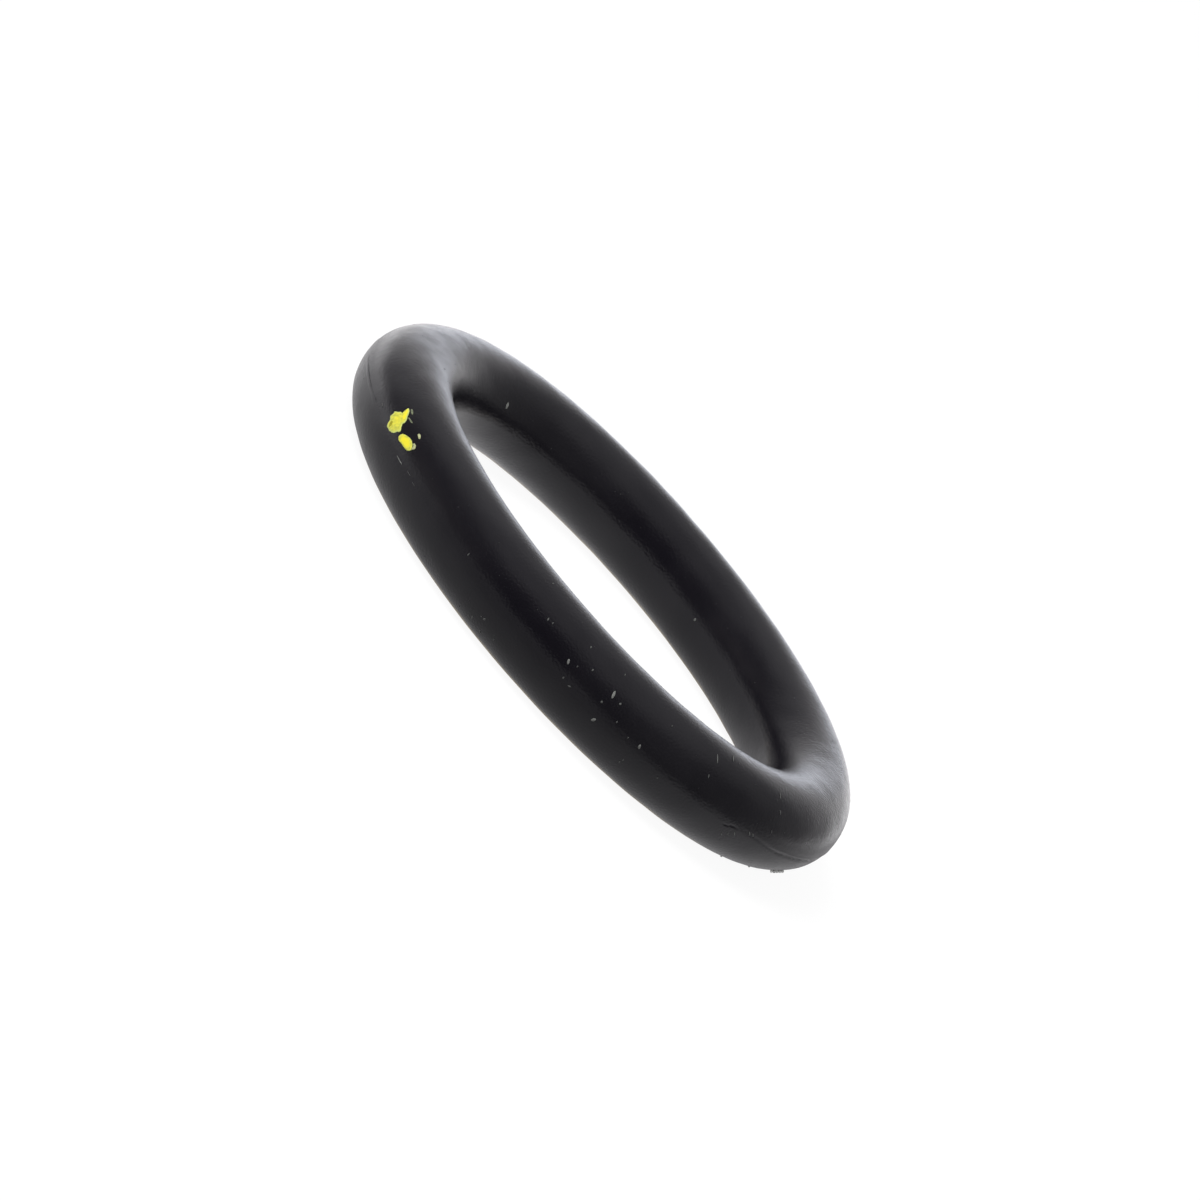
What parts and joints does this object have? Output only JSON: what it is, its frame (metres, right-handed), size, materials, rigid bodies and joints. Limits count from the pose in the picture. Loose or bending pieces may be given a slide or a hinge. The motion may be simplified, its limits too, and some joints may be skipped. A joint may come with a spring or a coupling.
{
  "type": "rubber o-ring",
  "caption": "Moulded black rubber sealing ring of round section, with a fine parting line and a dabbed yellow paint mark.",
  "frame": {"origin": "centre of the ring, on the plane where the mould halves met", "axes": "+Z along the ring's axis, out of the face that shows the paint mark; the ring lies in the XY plane"},
  "size_m": [0.0242, 0.0242, 0.0036],
  "materials": {
    "black_rubber": "matt moulded rubber with a fine grain, a thin parting line and a little dust",
    "yellow_paint": "thin dried paint, uneven at its edges, with one brown stain"
  },
  "bodies": {
    "root": {"o_ring": "black_rubber", "colour_mark": "yellow_paint"}
  },
  "joints": []
}
